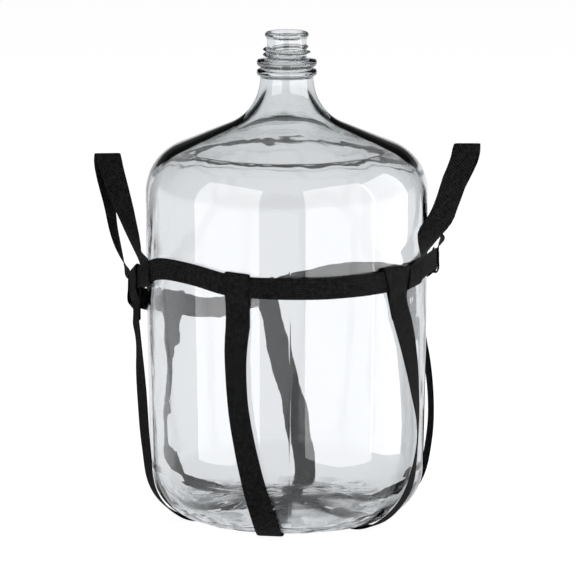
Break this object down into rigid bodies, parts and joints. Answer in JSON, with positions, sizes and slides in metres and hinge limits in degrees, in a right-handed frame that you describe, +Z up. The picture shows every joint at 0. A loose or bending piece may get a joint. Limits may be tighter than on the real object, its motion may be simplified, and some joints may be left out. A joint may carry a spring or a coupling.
{
  "type": "glass carboy in a webbing carrier",
  "caption": "Empty clear glass carboy with a ringed, threaded neck, standing in a black webbing carrier with a belt, straps under the base and a loop handle on each side.",
  "frame": {"origin": "on the floor under the crossing of the base straps, on the bottle's axis", "axes": "+Z up along the bottle's axis; the front faces -Y; +X is the viewer's right, so the handles are at -X and +X"},
  "size_m": [0.3819, 0.2879, 0.4861],
  "materials": {
    "clear_glass": "clear, polished, faint grey-green",
    "black_webbing": "matt woven polypropylene",
    "black_thread": "matt sewing thread"
  },
  "bodies": {
    "carrier": {"belt": "black_webbing", "base_strap_front_back": "black_webbing", "base_strap_left_right": "black_webbing", "base_strap_diagonal": "black_webbing", "handle_left_front_end": "black_webbing", "handle_left_rear_end": "black_webbing", "handle_right_front_end": "black_webbing", "handle_right_rear_end": "black_webbing", "stitch_riser_front": "black_thread", "stitch_riser_back": "black_thread", "stitch_riser_right_front": "black_thread", "stitch_riser_left_rear": "black_thread", "stitch_riser_left": "black_thread", "stitch_riser_right_rear": "black_thread", "stitch_handle_left_front": "black_thread", "stitch_handle_left_rear": "black_thread", "stitch_handle_right_front": "black_thread", "stitch_handle_right_rear": "black_thread", "stitch_belt_lap": "black_thread", "stitch_base_cross": "black_thread"},
    "carboy": {"glass_carboy": "clear_glass"},
    "left_handle": {"handle_left": "black_webbing"},
    "right_handle": {"handle_right": "black_webbing"}
  },
  "joints": [
    {"name": "carboy_lift", "type": "slide", "parent": "carrier", "child": "carboy", "axis": [0, 0, 1], "range_m": [0, 0.3]},
    {"name": "left_handle_fold", "type": "hinge", "parent": "carrier", "child": "left_handle", "pos_m": [-0.15165, -0.0022, 0.25394], "axis": [0.1785, -0.8996, 0.3986], "range_deg": [-12, 105]},
    {"name": "right_handle_fold", "type": "hinge", "parent": "carrier", "child": "right_handle", "pos_m": [0.14414, -0.02753, 0.27594], "axis": [0.2534, 0.9673, 0.0001], "range_deg": [-3, 120]}
  ]
}
